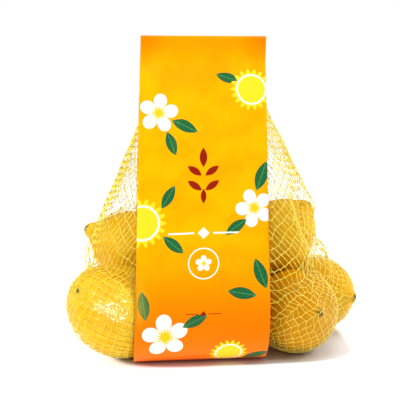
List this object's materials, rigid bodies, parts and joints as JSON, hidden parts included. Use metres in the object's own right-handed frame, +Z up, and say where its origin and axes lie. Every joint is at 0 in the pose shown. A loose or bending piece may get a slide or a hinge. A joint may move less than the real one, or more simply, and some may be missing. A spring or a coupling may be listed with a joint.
{
  "type": "net of lemons",
  "caption": "Knitted yellow net bag of lemons standing upright, carried by a printed film band that passes under the fruit and is welded to itself above it.",
  "frame": {"origin": "centre of the bag's box at floor level", "axes": "+Z up to the welded top of the film band, +Y from the front panel to the back panel, +X to the right seen from the front"},
  "size_m": [0.2322, 0.1264, 0.24],
  "materials": {
    "net_and_fruit": "glossy yellow knitted net over waxy lemon peel",
    "printed_film": "satin printed plastic film, yellow running to orange"
  },
  "bodies": {
    "root": {"net_bag": "net_and_fruit", "film_band": "printed_film"}
  },
  "joints": []
}
